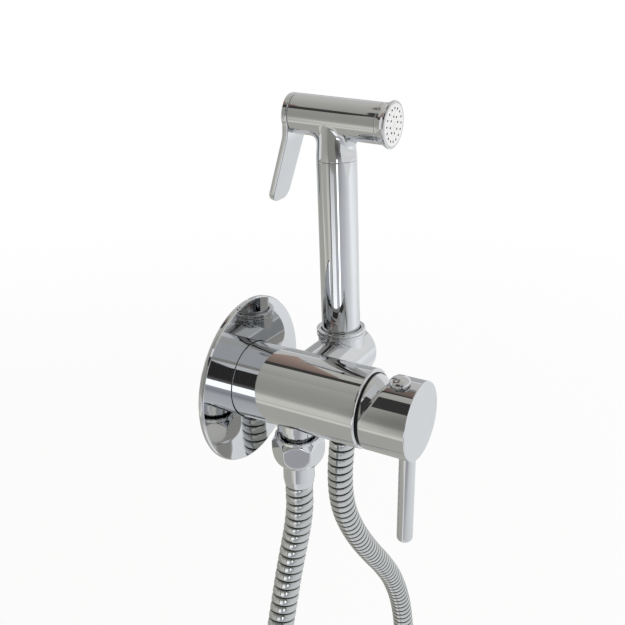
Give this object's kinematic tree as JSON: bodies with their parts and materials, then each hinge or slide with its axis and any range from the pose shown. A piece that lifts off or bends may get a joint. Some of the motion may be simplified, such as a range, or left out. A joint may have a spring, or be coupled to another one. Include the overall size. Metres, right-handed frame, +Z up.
{
  "type": "bidet_mixer",
  "caption": "Wall mounted single lever bidet mixer in polished chrome with a T shaped trigger hand shower in a side holder and a ribbed metal hose",
  "frame": {"origin": "On the axis of the mixer body, in the plane of its wall face", "axes": "+X towards the shower holder, +Y into the wall, +Z up"},
  "size_m": [0.2179, 0.1115, 0.6131],
  "materials": {
    "polished_chrome": "polished",
    "stainless_steel": "brushed",
    "brass": "machined",
    "black_rubber": "matte",
    "white_plastic": "matte",
    "ceramic": "gloss"
  },
  "bodies": {
    "mixer": {"valve_body": "polished_chrome", "wall_flange": "polished_chrome", "flange_seal": "black_rubber", "flange_oring": "black_rubber", "back_washer": "stainless_steel", "back_nut": "brass", "cold_strainer": "white_plastic", "hot_strainer": "white_plastic", "cartridge_seals": "black_rubber", "cartridge_base": "white_plastic", "fixed_disc": "ceramic", "cartridge_housing": "white_plastic", "cartridge_nut": "brass", "dome_cover": "polished_chrome", "outlet_nipple": "polished_chrome", "hose_washer": "black_rubber", "hose_nut": "polished_chrome", "hose_sleeve": "polished_chrome", "hose": "polished_chrome", "holder_arm": "polished_chrome", "holder_stud": "polished_chrome", "holder_collar": "polished_chrome", "holder_bush": "white_plastic"},
    "lever_guide": {"stem_guide": "white_plastic", "pivot_pin": "stainless_steel"},
    "lever": {"lever_stem": "brass", "lever_cap": "polished_chrome", "lever_pin": "polished_chrome", "grub_screw": "brass", "lever_button": "polished_chrome"},
    "disc_unit": {"moving_disc": "ceramic", "disc_carrier": "white_plastic"},
    "hose_end": {"hose_swivel": "polished_chrome"},
    "hand_shower": {"tail_fitting": "polished_chrome", "swivel_seal": "black_rubber", "handle_tube": "polished_chrome", "head_body": "polished_chrome", "face_ring": "polished_chrome", "spray_plate": "white_plastic", "plate_gasket": "black_rubber", "valve_bush": "brass", "valve_seat": "brass", "trigger_pin": "stainless_steel", "stem_spring": "stainless_steel"},
    "trigger_lever": {"trigger": "polished_chrome"},
    "valve_plunger": {"valve_stem": "polished_chrome", "stem_nut": "polished_chrome", "stem_seal": "black_rubber"}
  },
  "joints": [
    {"name": "lever_turn", "type": "hinge", "parent": "mixer", "child": "lever_guide", "pos_m": [0, 0, 0], "axis": [0, -1, 0], "range_deg": [-45, 45]},
    {"name": "lever_lift", "type": "hinge", "parent": "lever_guide", "child": "lever", "pos_m": [0, -0.066, 0], "axis": [-1, 0, 0], "range_deg": [0, 20]},
    {"name": "disc_slide", "type": "slide", "parent": "lever_guide", "child": "disc_unit", "axis": [0, 0, -1], "range_m": [0, 0.005]},
    {"name": "shower_lift", "type": "slide", "parent": "mixer", "child": "hose_end", "axis": [0, 0.0279, 0.9996], "range_m": [0, 0.0216]},
    {"name": "shower_swivel", "type": "hinge", "parent": "hose_end", "child": "hand_shower", "pos_m": [0.042, -0.0326, 0.002], "axis": [0, 0.0279, 0.9996], "continuous": true},
    {"name": "trigger_press", "type": "hinge", "parent": "hand_shower", "child": "trigger_lever", "pos_m": [0.042, -0.00903, 0.12454], "axis": [-1, 0, 0], "range_deg": [0, 13], "stiffness_Nm_per_rad": 1.2, "springref_deg": -8.59},
    {"name": "stem_pull", "type": "slide", "parent": "hand_shower", "child": "valve_plunger", "axis": [0, 0.9994, 0.0349], "range_m": [0, 0.0026], "deforming": ["stem_spring"]}
  ],
  "couplings": [
    {"joint": "disc_slide", "follows": "lever_lift", "m_per_rad": 0.014},
    {"joint": "stem_pull", "follows": "trigger_press", "m_per_rad": 0.0112}
  ]
}
